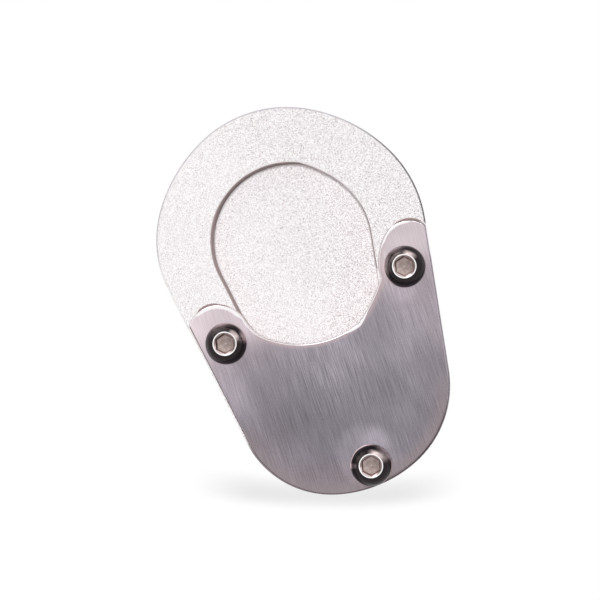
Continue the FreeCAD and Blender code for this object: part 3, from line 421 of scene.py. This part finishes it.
# stainless clamp plate
flankMiddle = lugMiddles["right"] + Vector((5.63, -5.4, 0)) * mm
plateLook = {
    "coolSteel": (0.286, 0.260, 0.297),
    "warmSteel": (0.290, 0.246, 0.272),
    # painted reflection, lighter on the lugs
    "tip": (0.74, 0.64, 0.675),
    # painted soft light along the heel
    "heelGlow": (0.302, 0.254, 0.264),
    # painted glow along the edge over the pocket, and painted shade at the foot of its round
    "lipGlow": (0.54, 0.43, 0.44),
    "lipFootShade": (0.62, 0.56, 0.57),
    # painted highlight and painted shade on the rounded edges
    "edgeHighlight": (0.93, 0.90, 0.91),
    "edgeShade": (0.15, 0.115, 0.12),
    # painted shade at the picture's lower right edge
    "edgeDeepShade": (0.095, 0.068, 0.074),
    "edgeSideShade": (0.22, 0.19, 0.22),
    "edgeSheerShade": (0.22, 0.155, 0.15),
    # painted bounce light in the slit round the lugs
    "slitGlow": (0.24, 0.19, 0.19),
    # brushing: scales per metre, lengthwise and crosswise, and shares of the tone
    "lines": (130, 3900),
    "bands": (60, 520),
    "grit": 5200,
    "clouds": 85,
    "lineShare": 1.05,
    "lineLeast": 0.95,
    "gritShare": 0.6,
    "bandShare": 0.2,
    "cloudShare": 0.2,
    "lineStrength": 0.12,
    "lineDepth": 0.01 * mm,
    "roughness": 0.34,
    "lineRoughness": 0.12,
    "edgePolish": 0.2,
    # painted reflection: tone along the picture's up, and along the left flank
    "shadeFoot": 0.80,
    "shadeRise": 0.52,
    "shadeUp": (-34 * mm, -3 * mm),
    "leftShare": 0.48,
    "leftReach": (22.5 * mm, 27 * mm),
    "leftUp": (-42 * mm, -20 * mm),
    # where the steel looks warm
    "coolMiddle": (12, -24),              # in mm along the picture's right and up
    "coolReach": (13 * mm, 34 * mm),
    "warmUp": (-37 * mm, -45 * mm),
    # lugs, from their screws: painted reflection, lighter at the tips
    "tipAhead": (-6 * mm, 4.5 * mm),
    "tipAside": (14 * mm, 7 * mm),
    "tipShare": 0.85,
    "tipLines": 0.4,
    "tipClouds": 0.5,
    # heel: painted soft light, and painted shade at the lower right edge
    "heelReach": (4.6 * mm, 0.8 * mm),
    "heelSide": (165, 0, 0.5),
    "heelShare": 0.8,
    "heelFibres": 0.7,
    "deepReach": (-1 * mm, -0.1 * mm),
    "deepSide": (135, 0.7, 0.94),
    "deepShare": 0.5,
    "underSide": (150, 0.3, 0.7),
    # edge over the pocket: painted glow, painted highlight line, and painted shade at the foot of its round
    "lipRight": (-15.5 * mm, -12.5 * mm),
    "lipReach": (1.7 * mm, 0),
    "rootReach": (2.2 * mm, 0),
    "brightWidth": 0.28 * mm,
    "brightFade": (0.1 * mm, -0.1 * mm),
    "footReach": (1 * mm, 0.8 * mm),
    # rounded edges: where the painted highlight and painted shade go
    "litSide": (-10, -0.2, 0.1),
    "edgeTilt": (0.985, 0.90),
    "litTilt": (0.998, 0.97),
    "deepTilt": (0.9985, 0.98),
    "underTilt": (0.995, 0.96),
    "footTilt": (0.9, 0.8),
    "rightSide": (68, 0.1, 0.4),
    "rightReach": (14 * mm, 18 * mm),
    "sheerTilt": (0.5, 0.2),
    "sheerSide": (0.2, 0.5),
    "sheerReach": (2 * mm, -6 * mm),
    "slitUp": (-14 * mm, -11 * mm),
    # arcs of the outline: middle, radius
    "arcs": {
        "flank": (flankMiddle, 15 * mm),
        "embrace": (Vector((1.15, 13.1, 0)) * mm, 24.05 * mm),
        "rightEdge": (Vector((-14.45, 23.15, 0)) * mm, 40.4 * mm),
        "rightHeel": (Vector((1.72, -23.44, 0)) * mm, 25.75 * mm),
        "leftHeel": (Vector((-3.61, -25.63, 0)) * mm, 23.75 * mm),
    },
    # painted highlight on polished margins: middle, radius, heading and half range of the arc, width
    "margins": [
        (lugMiddles["left"], 7.75 * mm, 2, 64, 1.15 * mm),
        (lugMiddles["right"], 7.2 * mm, -40, 52, 0.85 * mm),
        (flankMiddle, 15 * mm, -66, 14, 0.6 * mm),
    ],
    "marginFull": 0.6,
    "marginEnds": 0.1,
    "marginFade": (-0.1 * mm, 0.3 * mm),
    "marginOuter": (0.9 * mm, 0.5 * mm),
    # soft round areas, in mm along the picture's right and up: middle, inner and outer reach, strength
    "tones": [
        (13.8, -39.0, 5.8, 9.0, 0.30),
        (16.0, -35.6, 1.5, 4.8, 0.42),
        (22.0, -41.5, 1.0, 4.0, 0.22),
        (-7.0, -44.9, 3.0, 12.0, 0.27),
        (4.8, -48.4, 2.0, 8.0, 0.16),
        (30.7, -14.7, 2.0, 9.0, -0.18),
        (17.3, -19.8, 1.5, 10.0, -0.14),
        (16.1, -7.2, 2.0, 10.0, -0.20),
        (26.5, -34.0, 3.0, 11.0, 0.10),
        (23.1, 2.6, 1.5, 4.6, 0.24),
        (-5.3, -26.6, 3.0, 14.0, -0.08),
        (-7.3, -15.7, 2.0, 8.0, -0.04),
        (6.0, -19.8, 1.0, 5.0, 0.09),
        (24.3, 13.5, 4.0, 9.0, -0.12),
        (12.4, -47.0, 1.0, 4.0, 0.50),
    ],
    "lessWarm": [
        (24, -2, 3, 11, 0.2),
        (-15, -25, 5, 13, 0.6),
    ],
    "moreLines": (5, -18, 4, 14, 0.75),
    "rootGlow": (15, 0, 3, 10, 0.9),
    "rootBright": (11.8, -6.1, 1, 5.5, 0.6),
}


def brushedStainless():
    look = plateLook
    material, g = newMaterial("brushedStainless")
    place = g.place()
    normal = g.facing()
    facesUp = g.parts(normal)[2]
    up = g.dot(place, pictureUp)
    right = g.dot(place, pictureRight)

    def reachFrom(middleRight, middleUp):
        across, along = right - middleRight * mm, up - middleUp * mm
        return (across * across + along * along) ** 0.5

    def area(middleRight, middleUp, inner, outer, strength):
        return reachFrom(middleRight, middleUp).rise(outer * mm, inner * mm) * strength

    def around(middle):
        # distance from a point, and the offset from it
        x, y = g.parts(g.less(place, middle))[:2]
        return (x * x + y * y) ** 0.5, x, y

    def fromArc(name):
        # how far outside an arc, and the way there
        middle, radius = look["arcs"][name]
        reach, x, y = around(middle)
        return reach - radius, x / reach, y / reach

    def towards(x, y, heading):
        way = inPicture(heading)
        return x * way.x + y * way.y

    def nearTip(name):
        ahead = g.dot(place, lengthwise) - screwPlaces[name].y
        aside = (g.dot(place, crosswise) - screwPlaces[name].x).size()
        return ahead.rise(*look["tipAhead"]) * aside.rise(*look["tipAside"])

    # brushed lines, strongest in the middle
    lines = g.streaks(place, *look["lines"])
    bands = g.streaks(place, *look["bands"])
    grit = g.noise(place, look["grit"], 1.0)
    clouds = g.noise(place, look["clouds"])
    middleLines = look["lineLeast"] + area(*look["moreLines"])
    fibres = lines.swing(look["lineShare"]) * middleLines + grit.swing(look["gritShare"])
    # painted reflection: lighter towards the lugs and along the left side
    leftEdge = g.dot(place, leftFlank).rise(*look["leftReach"]) * up.rise(*look["leftUp"])
    tone = look["shadeFoot"] + up.rise(*look["shadeUp"]) * look["shadeRise"] + leftEdge * look["leftShare"]
    tones = 1
    for row in look["tones"]:
        tones = tones + area(*row)
    shade = tone * tones * (1 + fibres + bands.swing(look["bandShare"]) + clouds.swing(look["cloudShare"]))
    # cooler in the middle
    warm = reachFrom(*look["coolMiddle"]).rise(*look["coolReach"]).most(up.rise(*look["warmUp"]))
    for row in look["lessWarm"]:
        warm = warm * (1 - area(*row))
    steel = g.shaded(g.blend(warm, look["coolSteel"], look["warmSteel"]), shade)
    # pale lugs: painted reflection
    tips = nearTip("leftScrew").most(nearTip("rightScrew"))
    tipTone = tones * (1 + lines.swing(look["tipLines"]) + clouds.swing(look["tipClouds"]))
    steel = g.blend(tips * look["tipShare"], steel, g.shaded(look["tip"], tipTone))
    # painted soft light along the heel
    outRight, rightX, rightY = fromArc("rightHeel")

    def onRightArc(heading, start, end):
        return towards(rightX, rightY, heading).rise(start, end)

    fromHeel = outRight.least(fromArc("leftHeel")[0]) * -1
    heelLight = fromHeel.rise(*look["heelReach"]) * onRightArc(*look["heelSide"]) * look["heelShare"]
    steel = g.blend(heelLight, steel, g.shaded(look["heelGlow"], 1 + fibres * look["heelFibres"]))
    # painted glow and a painted highlight line along the edge over the pocket
    lip = highest([fromArc("embrace")[0], fromArc("rightEdge")[0], fromArc("flank")[0] * -1])
    alongLip = right.rise(*look["lipRight"])
    glowing = lip.rise(*look["lipReach"]).most(lip.rise(*look["rootReach"]) * area(*look["rootGlow"]))
    steel = g.blend(glowing * alongLip, steel, look["lipGlow"])
    brightTo = area(*look["rootBright"]) * mm + look["brightWidth"]
    steel = g.blend((lip - brightTo).rise(*look["brightFade"]) * alongLip, steel, look["edgeHighlight"])
    # painted highlight on the polished margins round the lugs
    start, full = look["marginOuter"]
    for middle, radius, heading, halfRange, width in look["margins"]:
        reach, x, y = around(middle)
        ahead = towards(x, y, heading) / reach
        ends = cosine(halfRange)
        wide = ahead.rise(ends, cosine(halfRange * look["marginFull"])) * width
        margin = (reach - radius + wide).rise(*look["marginFade"])
        margin = margin * ahead.rise(ends - look["marginEnds"], ends)
        margin = margin * reach.rise(radius + start, radius + full)
        steel = g.blend(margin, steel, look["edgeHighlight"])
    # rounded edges: painted highlight towards the light, painted shade elsewhere, darkest at the picture's
    # lower right
    lit = g.faces(normal, *look["litSide"])
    unlit = 1 - lit
    lowerRight = onRightArc(*look["deepSide"])
    edge = highest([
        facesUp.rise(*look["edgeTilt"]),
        facesUp.rise(*look["litTilt"]) * lit,
        facesUp.rise(*look["deepTilt"]) * unlit * lowerRight,
        facesUp.rise(*look["underTilt"]) * unlit * onRightArc(*look["underSide"]),
    ])
    # painted shade inside the edge at the picture's lower right
    nearDeepShade = outRight.rise(*look["deepReach"]) * lowerRight * lowerRight
    steel = g.blend(nearDeepShade * look["deepShare"], steel, look["edgeDeepShade"])
    rim = g.blend(lit, look["edgeShade"], look["edgeHighlight"])
    # painted shade on the foot of the round over the pocket
    lipFootShade = facesUp.rise(*look["footTilt"]) * lip.rise(*look["footReach"]) * alongLip
    rim = g.blend(lipFootShade, rim, look["lipFootShade"])
    # painted shade on the edges facing the picture's right
    sideways = g.faces(normal, *look["rightSide"]) * right.rise(*look["rightReach"])
    rim = g.blend(sideways, rim, look["edgeSideShade"])
    rim = g.blend(lowerRight * unlit, rim, look["edgeDeepShade"])
    # painted shade on the sheer inner edge beside the left lug, in the shade of the pocket
    upright = facesUp.rise(*look["sheerTilt"])
    sheer = upright * g.dot(normal, crosswise).rise(*look["sheerSide"])
    rim = g.blend(sheer * right.rise(*look["sheerReach"]), rim, look["edgeSheerShade"])
    # painted bounce light glowing in the slit round the lugs
    glow = g.blend(upright * up.rise(*look["slitUp"]), (0, 0, 0), look["slitGlow"])
    roughness = look["roughness"] + lines.swing(look["lineRoughness"]) - edge * look["edgePolish"]
    relief = g.bump(lines, look["lineStrength"], look["lineDepth"])
    g.finish({"Base Color": g.blend(edge, steel, rim), "Roughness": roughness, "Metallic": 1.0,
              "Normal": relief, "Emission Color": glow, "Emission Strength": 1.0})
    return material


dress(nodes["clamp_plate"], brushedStainless())
print("plate dressed")


# button head screws
screwSize = {
    "headRadius": 5.25 * mm,
    "edgeHeight": 0.35 * mm,
    "edgeRound": 0.12 * mm,
    "edgeCurve": 0.3,                     # share of the round
    "headHeight": 3.3 * mm,
    "rimRadius": 3.04 * mm,
    "rimRound": 0.06 * mm,
    "rimCurve": [(0.7, 0.55), (-0.3, 0.08), (-1.6, 0)],   # out and down, in rounds
    "mouthRadius": 2.79 * mm,
    "mouthCurve": [(1, 0), (0, 0.5)],
    "mouthSlope": 28,
    "mouthFlats": 4.56 * mm,
    "acrossFlats": 4.1 * mm,
    "flareDepth": 0.75 * mm,
    "socketDepth": 2.1 * mm,
    "drillRadius": 1.7 * mm,
    "drillDepth": 0.45 * mm,
    "shankLength": 10 * mm,
    "crestRadius": 3.0 * mm,
    "rootRadius": 2.4 * mm,
    "pitch": 1.0 * mm,
    "crestHalf": 0.0625,                  # shares of the pitch
    "flank": 0.3125,
    "runOut": 0.9 * mm,
    "tipChamfer": 0.7 * mm,
    "around": 96,
    "perPitch": 10,
    "domeSteps": 14,
    "sharpAngle": 32,
}
socketFloor = screwSize["headHeight"] - screwSize["socketDepth"]
# how far each hexagon is turned, painted soft reflections on the dome (heading in the picture, half width,
# strength, how far out) and painted highlight lines along its foot (heading, half width, strength)
screws = {
    "leftScrew": {
        "turn": 46,
        "glints": [(48, 36, 0.9, 0.0), (68, 24, 0.46, 1.0), (-22, 52, 0.3, 0.8)],
        "edges": [(30, 60, 0.25)],
    },
    "rightScrew": {
        "turn": 45.5,
        "glints": [(22, 38, 0.95, 0.0), (-40, 52, 0.4, 0.5), (-84, 42, 0.5, 1.0)],
        "edges": [(-105, 60, 0.6)],
    },
    "heelScrew": {
        "turn": 45,
        "glints": [(28, 46, 1.0, 0.0), (44, 38, 1.0, 0.6), (52, 26, 0.8, 1.0), (-92, 12, 0.5, 1.0),
                   (-50, 30, 0.14, 0.6)],
        "edges": [(-45, 70, 0.8), (-92, 12, 1.0), (105, 50, 0.35)],
    },
}
screwLook = {
    # painted reflections: dark dome, glints and their glow
    "dark": (0.029, 0.023, 0.025),
    "glint": (0.86, 0.70, 0.70),
    "glintGlow": (0.20, 0.16, 0.16),
    # painted highlight line along the dome's foot, and its glow
    "footHighlight": (0.92, 0.76, 0.74),
    "edgeGlow": (0.52, 0.42, 0.41),
    "pipGlint": (0.62, 0.54, 0.52),
    # painted reflection: the flat rim bright
    "rim": (0.98, 0.96, 0.96),
    # painted light and shade in the mouth, on the socket's floor and wall
    "mouth": (0.24, 0.185, 0.18),
    "mouthLit": (0.64, 0.51, 0.51),
    "floor": (0.33, 0.26, 0.245),
    "floorLit": (0.50, 0.40, 0.375),
    "wall": (0.11, 0.075, 0.07),
    "wallLit": (0.46, 0.365, 0.34),
    "thread": (0.45, 0.42, 0.42),
    "roughness": 0.16,
    "socketRoughness": 0.2,               # added inside the mouth
    "clouds": 900,                        # per metre
    "cloudRange": (0.3, 0.7),
    "glintClouds": (0.6, 0.4),            # least, and what is added
    "floorClouds": (0.82, 0.36),
    "waves": 2500,
    "waveStrength": 0.05,
    "waveDepth": 0.01 * mm,
    "headingFull": 0.2,                   # share of the half width
    "rimFade": 0.1 * mm,
    "innerReach": (1.3 * mm, 0.4 * mm),   # beyond the rim
    "edgeReach": (0.26 * mm, 0.16 * mm),  # within the head
    "soft": 0.03 * mm,
    "aboveBearing": (0, 0.2 * mm),
    "hollowDepth": (0.02 * mm, 0.06 * mm),
    "steepTilt": (0.75, 0.6),
    "floorRise": (0.12 * mm, 0.02 * mm),
    "wallSide": (115, 0.1, 0.7),
    "mouthSide": (18, 0.12, 0.36),
    "floorWay": inPicture(-140),
    "floorReach": (-0.5 * mm, 1.6 * mm),
    "pipReach": (0.26 * mm, 0.08 * mm),
    "threadHeight": (0, -0.05 * mm),
}


def ring(bm, radius, height):
    # a closed row of points; radius and height may be numbers or functions of the angle
    row = []
    for step in range(screwSize["around"]):
        angle = 2 * math.pi * step / screwSize["around"]
        reach = radius(angle) if callable(radius) else radius
        level = height(angle) if callable(height) else height
        row.append(bm.verts.new((reach * math.cos(angle), reach * math.sin(angle), level)))
    return row


def skin(bm, rows):
    for lower, upper in zip(rows, rows[1:]):
        for step in range(len(lower)):
            following = (step + 1) % len(lower)
            bm.faces.new((lower[step], lower[following], upper[following], upper[step]))


def cap(bm, row, height, facesUp):
    middle = bm.verts.new((0, 0, height))
    for step in range(len(row)):
        pair = (row[step], row[(step + 1) % len(row)])
        bm.faces.new((*pair, middle) if facesUp else (*reversed(pair), middle))


def hexagonReach(angle, acrossFlats):
    # distance to a hexagon with a corner on +Y
    turned = (angle - math.pi / 2) % (math.pi / 3)
    return acrossFlats / 2 / math.cos(turned - math.pi / 6)


def threadReach(angle, height):
    # trapezoid thread, faded out under the head and chamfered at the tip
    s = screwSize
    phase = (height / s["pitch"] - angle / (2 * math.pi)) % 1
    slope = min(1, max(0, (abs(phase - 0.5) - s["crestHalf"]) / s["flank"]))
    reach = s["crestRadius"] - (s["crestRadius"] - s["rootRadius"]) * slope
    if height > -s["runOut"]:
        reach = s["crestRadius"]
    fromTip = height + s["shankLength"]
    return min(reach, s["crestRadius"] - s["tipChamfer"] + fromTip)


def threadRows(bm):
    s = screwSize
    rows = []
    for step in range(round(s["shankLength"] / s["pitch"]) * s["perPitch"] + 1):
        height = -s["shankLength"] + s["pitch"] * step / s["perPitch"]
        rows.append(ring(bm, lambda angle: threadReach(angle, height), height))
    return rows


def headRows(bm):
    # bearing face, small round, upright edge, dome, polished rim
    s = screwSize
    head, rim, top = s["headRadius"], s["rimRadius"], s["headHeight"]
    edge, small = s["edgeRound"], s["rimRound"]
    profile = [(head - edge, 0), (head - edge * s["edgeCurve"], edge * s["edgeCurve"])]
    profile += [(head, edge), (head, s["edgeHeight"])]
    climb = top - s["edgeHeight"]
    drop = (head ** 2 - rim ** 2 - climb ** 2) / (2 * climb)
    domeRadius = math.hypot(head, drop)
    first = math.atan2(drop, head)
    last = math.atan2(drop + climb, rim)
    for step in range(1, s["domeSteps"]):
        angle = first + (last - first) * step / s["domeSteps"]
        height = s["edgeHeight"] - drop + domeRadius * math.sin(angle)
        profile.append((domeRadius * math.cos(angle), height))
    profile += [(rim + small * out, top - small * down) for out, down in s["rimCurve"]]
    profile += [(s["mouthRadius"] + small * out, top - small * down) for out, down in s["mouthCurve"]]
    return [ring(bm, radius, height) for radius, height in profile]


def socketRows(bm, mouthTop):
    # countersunk mouth, hexagon, drilled middle
    s = screwSize
    fall = math.tan(math.radians(s["mouthSlope"]))

    def mouthReach(angle):
        return hexagonReach(angle, s["mouthFlats"])

    def socketReach(angle):
        return hexagonReach(angle, s["acrossFlats"])

    def mouthHeight(angle):
        return mouthTop - (s["mouthRadius"] - mouthReach(angle)) * fall

    return [
        ring(bm, mouthReach, mouthHeight),
        ring(bm, socketReach, s["headHeight"] - s["flareDepth"]),
        ring(bm, socketReach, socketFloor),
        ring(bm, s["drillRadius"], socketFloor),
    ]


def makeScrew(name):
    s = screwSize
    bm = bmesh.new()
    rows = threadRows(bm)
    cap(bm, rows[0], -s["shankLength"], False)
    rows += headRows(bm)
    rows += socketRows(bm, s["headHeight"] - s["rimRound"] * s["mouthCurve"][-1][1])
    skin(bm, rows)
    cap(bm, rows[-1], socketFloor - s["drillDepth"], True)
    turned = Matrix.Rotation(math.radians(screws[name]["turn"]), 3, "Z")
    bmesh.ops.rotate(bm, verts=bm.verts, cent=(0, 0, 0), matrix=turned)
    mesh = meshFrom(bm, name)
    mesh.polygons.foreach_set("use_smooth", [True] * len(mesh.polygons))
    mesh.set_sharp_from_angle(angle=math.radians(s["sharpAngle"]))
    screw = newObject(name, mesh)
    screw.location = (screwPlaces[name].x, screwPlaces[name].y, ringTop)
    return screw


def polishedStainless(name):
    look = screwLook
    s = screwSize
    head, rimRadius, top = s["headRadius"], s["rimRadius"], s["headHeight"]
    material, g = newMaterial("polishedStainless_" + name)
    place = g.place()
    normal = g.facing()
    x, y, z = g.parts(place)
    reach = (x * x + y * y) ** 0.5
    turn = g.maths("ARCTAN2", y, x) * (180 / math.pi)
    heading = 90 - turn - pictureTurn
    cloudy = g.noise(place, look["clouds"]).rise(*look["cloudRange"])

    def towards(centre, halfWidth):
        away = g.maths("WRAP", heading - centre, 180.0, -180.0).size()
        return away.rise(halfWidth, halfWidth * look["headingFull"])

    # dome: painted dark reflection, painted soft reflections and a painted highlight line at its foot
    outer = reach.rise(rimRadius + look["rimFade"], head)
    start, full = look["innerReach"]
    inner = reach.rise(rimRadius + start, rimRadius + full)
    patches = []
    for centre, halfWidth, strength, outside in screws[name]["glints"]:
        spread = outer * outside + inner * (1 - outside)
        patches.append(towards(centre, halfWidth) * (spread * strength))
    least, more = look["glintClouds"]
    glint = highest(patches) * (least + cloudy * more)
    # painted highlight line along the dome's foot
    start, full = look["edgeReach"]
    atEdge = reach.rise(head - start, head - full)
    patches = []
    for centre, halfWidth, strength in screws[name]["edges"]:
        patches.append(towards(centre, halfWidth) * (atEdge * strength))
    footHighlight = highest(patches)
    dome = g.blend(footHighlight, g.blend(glint, look["dark"], look["glint"]), look["footHighlight"])
    onDome = reach.rise(rimRadius, rimRadius + look["rimFade"]) * z.rise(*look["aboveBearing"])
    # rim, mouth, socket: painted reflection on the rim, painted light and shade in the mouth, on the floor
    # and the wall, and a painted glint in the floor's middle
    soft = look["soft"]
    onRim = reach.rise(rimRadius + soft, rimRadius - soft)
    inMouth = reach.rise(s["mouthRadius"] + soft, s["mouthRadius"] - soft)
    start, full = look["hollowDepth"]
    hollow = z.rise(top - start, top - full) * inMouth
    steep = g.parts(normal)[2].rise(*look["steepTilt"]) * inMouth
    start, full = look["floorRise"]
    low = z.rise(socketFloor + start, socketFloor + full) * inMouth
    wall = g.blend(g.faces(normal, *look["wallSide"]), look["wallLit"], look["wall"])
    mouth = g.blend(g.faces(normal, *look["mouthSide"]), look["mouth"], look["mouthLit"])
    lowerLeft = g.dot(place, look["floorWay"]).rise(*look["floorReach"])
    least, more = look["floorClouds"]
    floor = g.shaded(g.blend(lowerLeft, look["floor"], look["floorLit"]), least + cloudy * more)
    floor = g.blend(reach.rise(*look["pipReach"]), floor, look["pipGlint"])
    # painted reflection on the flat rim
    metal = g.blend(onRim, dome, look["rim"])
    metal = g.blend(hollow, metal, mouth)
    metal = g.blend(steep, metal, wall)
    metal = g.blend(low, metal, floor)
    # threads stay plain steel
    metal = g.blend(z.rise(*look["threadHeight"]), metal, look["thread"])
    # painted reflections glowing on the dome
    glow = g.blend(glint * glint * onDome, (0, 0, 0), look["glintGlow"])
    glow = g.blend(footHighlight * onDome, glow, look["edgeGlow"])
    relief = g.bump(g.noise(place, look["waves"]), look["waveStrength"], look["waveDepth"])
    roughness = look["roughness"] + inMouth * look["socketRoughness"]
    g.finish({"Base Color": metal, "Roughness": roughness, "Metallic": 1.0, "Normal": relief,
              "Emission Color": glow, "Emission Strength": 1.0})
    return material


for screwName, node in screwNodes.items():
    screwPiece = makeScrew(screwName)
    dress(screwPiece, polishedStainless(screwName))
    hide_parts(node)
    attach(screwPiece, "root")
print("screws made:", len(screwNodes))


# floor and its painted soft shadow below the heel
floorLook = {
    "halfSize": 1.5,
    "drop": 0.02 * mm,
    "white": (1.0, 1.0, 1.0),
    "seenAsWhite": 0.86,                  # share of the floor that shows plain white
    # painted shadow below the heel
    "shade": 0.20,
    "shadeAcross": 3.3 * mm,              # middle of the band along the picture's right
    "shadeUp": -50.6 * mm,                # and along the picture's up
    "shadeHalfWidth": 36.5 * mm,
    "shadeBend": 3.2 * mm,
    "shadeEnds": (1.06, 0.45),            # in half widths
    "shadeBelow": (-4.6 * mm, -0.2 * mm),
    "shadeAbove": (7.2 * mm, 0.3 * mm),
}


def paleFloor():
    look = floorLook
    material, g = newMaterial("paleFloor")
    place = g.place()
    across = (g.dot(place, pictureRight) - look["shadeAcross"]) / look["shadeHalfWidth"]
    up = g.dot(place, pictureUp) - look["shadeUp"] - across * across * look["shadeBend"]
    ends = across.size().rise(*look["shadeEnds"])
    band = up.rise(*look["shadeBelow"]) * up.rise(*look["shadeAbove"])
    colour = g.shaded(look["white"], 1 - ends * band * look["shade"])
    matte = g.node("ShaderNodeBsdfDiffuse", None, {"Color": colour})
    plain = g.node("ShaderNodeEmission", None, {"Color": colour, "Strength": 1.0})
    direct = g.seenDirectly() * look["seenAsWhite"]
    mixed = g.node("ShaderNodeMixShader", None, {0: direct, 1: matte, 2: plain})
    g.node("ShaderNodeOutputMaterial", None, {"Surface": mixed})
    return material


def makeFloor():
    half, drop = floorLook["halfSize"], floorLook["drop"]
    bm = bmesh.new()
    corners = ((-1, -1), (1, -1), (1, 1), (-1, 1))
    bm.faces.new([bm.verts.new((x * half, y * half, -drop)) for x, y in corners])
    floor = newObject("floor", meshFrom(bm, "floor"))
    dress(floor, paleFloor())


makeFloor()
print("floor laid")


# studio light: a soft sky that is brightest overhead, two soft lamps, and a wide light from straight above
skyLook = {"low": 0.09, "overhead": 0.26}
lamps = {
    "upperLeft": {"heading": -25, "elevation": 42, "distance": 0.7, "width": 0.34, "power": 0.7},
    "right": {"heading": 80, "elevation": 35, "distance": 0.8, "width": 0.25, "power": 0.3},
}
topLight = {"strength": 2.69, "spread": 9, "lean": 2.5, "heading": 20}


def makeSky():
    world = bpy.data.worlds.new("sky")
    bpy.context.scene.world = world
    g = Graph(world)
    way = g.node("ShaderNodeTexCoord", out=0)
    height = g.parts(way)[2].most(0.0)
    direct = g.seenDirectly()
    glow = (skyLook["low"] + skyLook["overhead"] * height * height) * (1 - direct) + direct
    background = g.node("ShaderNodeBackground", None, {"Color": (1, 1, 1, 1), "Strength": glow})
    g.node("ShaderNodeOutputWorld", None, {"Surface": background})


def newLight(name, kind, power, way):
    # a light that shines from a direction
    light = bpy.data.lights.new(name, kind)
    light.energy = power
    stand = newObject(name, light)
    stand.rotation_euler = way.to_track_quat("Z", "Y").to_euler()
    return light, stand


def makeLamps():
    target = Vector((0, 0, ringTop))
    for name, lamp in lamps.items():
        lift = lamp["elevation"]
        way = inPicture(lamp["heading"]) * cosine(lift) + Vector((0, 0, sine(lift)))
        light, stand = newLight(name, "AREA", lamp["power"], way)
        light.shape = "DISK"
        light.size = lamp["width"]
        stand.location = target + way * lamp["distance"]
        stand.visible_diffuse = False


def makeTopLight():
    # not mirrored in the metal
    way = inPicture(topLight["heading"]) * sine(topLight["lean"]) + Vector((0, 0, 1))
    light, stand = newLight("topLight", "SUN", topLight["strength"], way)
    light.angle = math.radians(topLight["spread"])
    stand.visible_glossy = False


makeSky()
makeLamps()
makeTopLight()
print("light set")


# camera over the part, turned as the photograph is
cameraView = {
    "place": Vector((28.4, -17.7, 461)) * mm,
    "aim": Vector((-2.67, 0.72, 11)) * mm,
    "lens": 107.4,
    "sensor": 36,
    "nearest": 10 * mm,
    "farthest": 10,
}


def makeCamera():
    view = cameraView
    data = bpy.data.cameras.new("camera")
    data.lens = view["lens"]
    data.sensor_width = view["sensor"]
    data.clip_start = view["nearest"]
    data.clip_end = view["farthest"]
    camera = newObject("camera", data)
    back = (view["place"] - view["aim"]).normalized()
    right = pictureUp.cross(back).normalized()
    turned = Matrix((right, back.cross(right), back)).transposed()
    camera.matrix_world = turned.to_4x4()
    camera.location = view["place"]
    bpy.context.scene.camera = camera


makeCamera()
bpy.context.scene.view_settings.view_transform = "Standard"
print("camera set")
